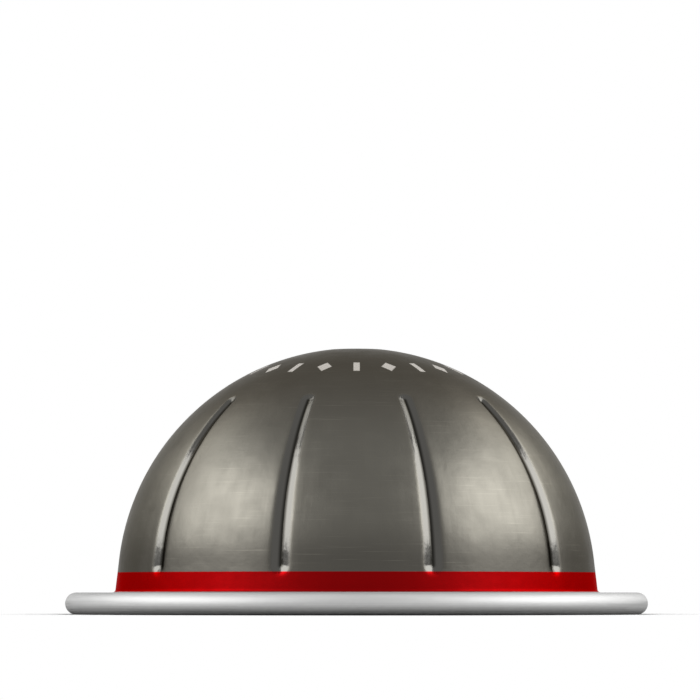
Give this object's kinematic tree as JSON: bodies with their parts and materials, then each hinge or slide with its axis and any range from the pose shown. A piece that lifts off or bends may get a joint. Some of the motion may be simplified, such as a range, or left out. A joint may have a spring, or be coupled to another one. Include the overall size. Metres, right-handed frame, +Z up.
{
  "type": "coffee pod",
  "caption": "Domed coffee pod for a brewer: a drawn aluminium cup with pressed grooves, a flat flange and a curled rim, closed by a sealed foil lid.",
  "frame": {"origin": "middle of the ring that the pod stands on, under the curled rim", "axes": "+Z up the pod's axis towards the crown of the dome; -Y is the front, midway between two grooves"},
  "size_m": [0.061, 0.061, 0.0277],
  "materials": {
    "lacquered_aluminium": "satin grey-brown lacquer over drawn aluminium, with a red printed band and a bare rim",
    "lid_foil": "bright rolled foil"
  },
  "bodies": {
    "root": {"drawn_cup": "lacquered_aluminium", "foil_lid": "lid_foil"}
  },
  "joints": []
}
